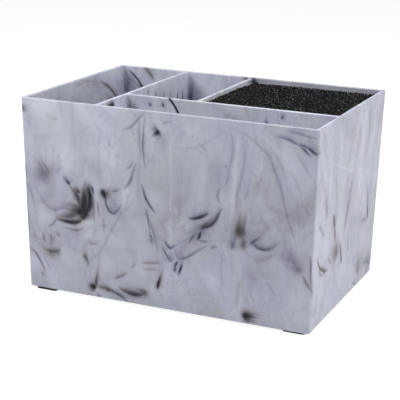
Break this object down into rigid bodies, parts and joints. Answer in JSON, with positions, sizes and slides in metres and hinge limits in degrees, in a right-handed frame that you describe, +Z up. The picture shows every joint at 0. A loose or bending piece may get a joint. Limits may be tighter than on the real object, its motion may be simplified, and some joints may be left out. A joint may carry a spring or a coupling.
{
  "type": "salon tool organizer",
  "caption": "Open marbled plastic tub with upright divided bays for combs and clippers and a lift-out bristle insert that holds scissors blade down.",
  "frame": {"origin": "middle of the footprint, at the underside of the feet", "axes": "+Z up, +X to the right along the long side, -Y towards the front, where the long slot is"},
  "size_m": [0.2, 0.141, 0.1302],
  "materials": {
    "marbled_plastic": "satin",
    "tray_plastic": "matte",
    "bristle_filaments": "satin",
    "foot_rubber": "matte"
  },
  "bodies": {
    "tub_body": {"tub": "marbled_plastic", "front_left_foot": "foot_rubber", "front_right_foot": "foot_rubber", "back_left_foot": "foot_rubber", "back_right_foot": "foot_rubber"},
    "bristle_insert": {"bristle_tray": "tray_plastic", "bristle_block": "bristle_filaments"}
  },
  "joints": [
    {"name": "insert_lift", "type": "slide", "parent": "tub_body", "child": "bristle_insert", "axis": [0, 0, 1], "range_m": [0, 0.13]}
  ]
}
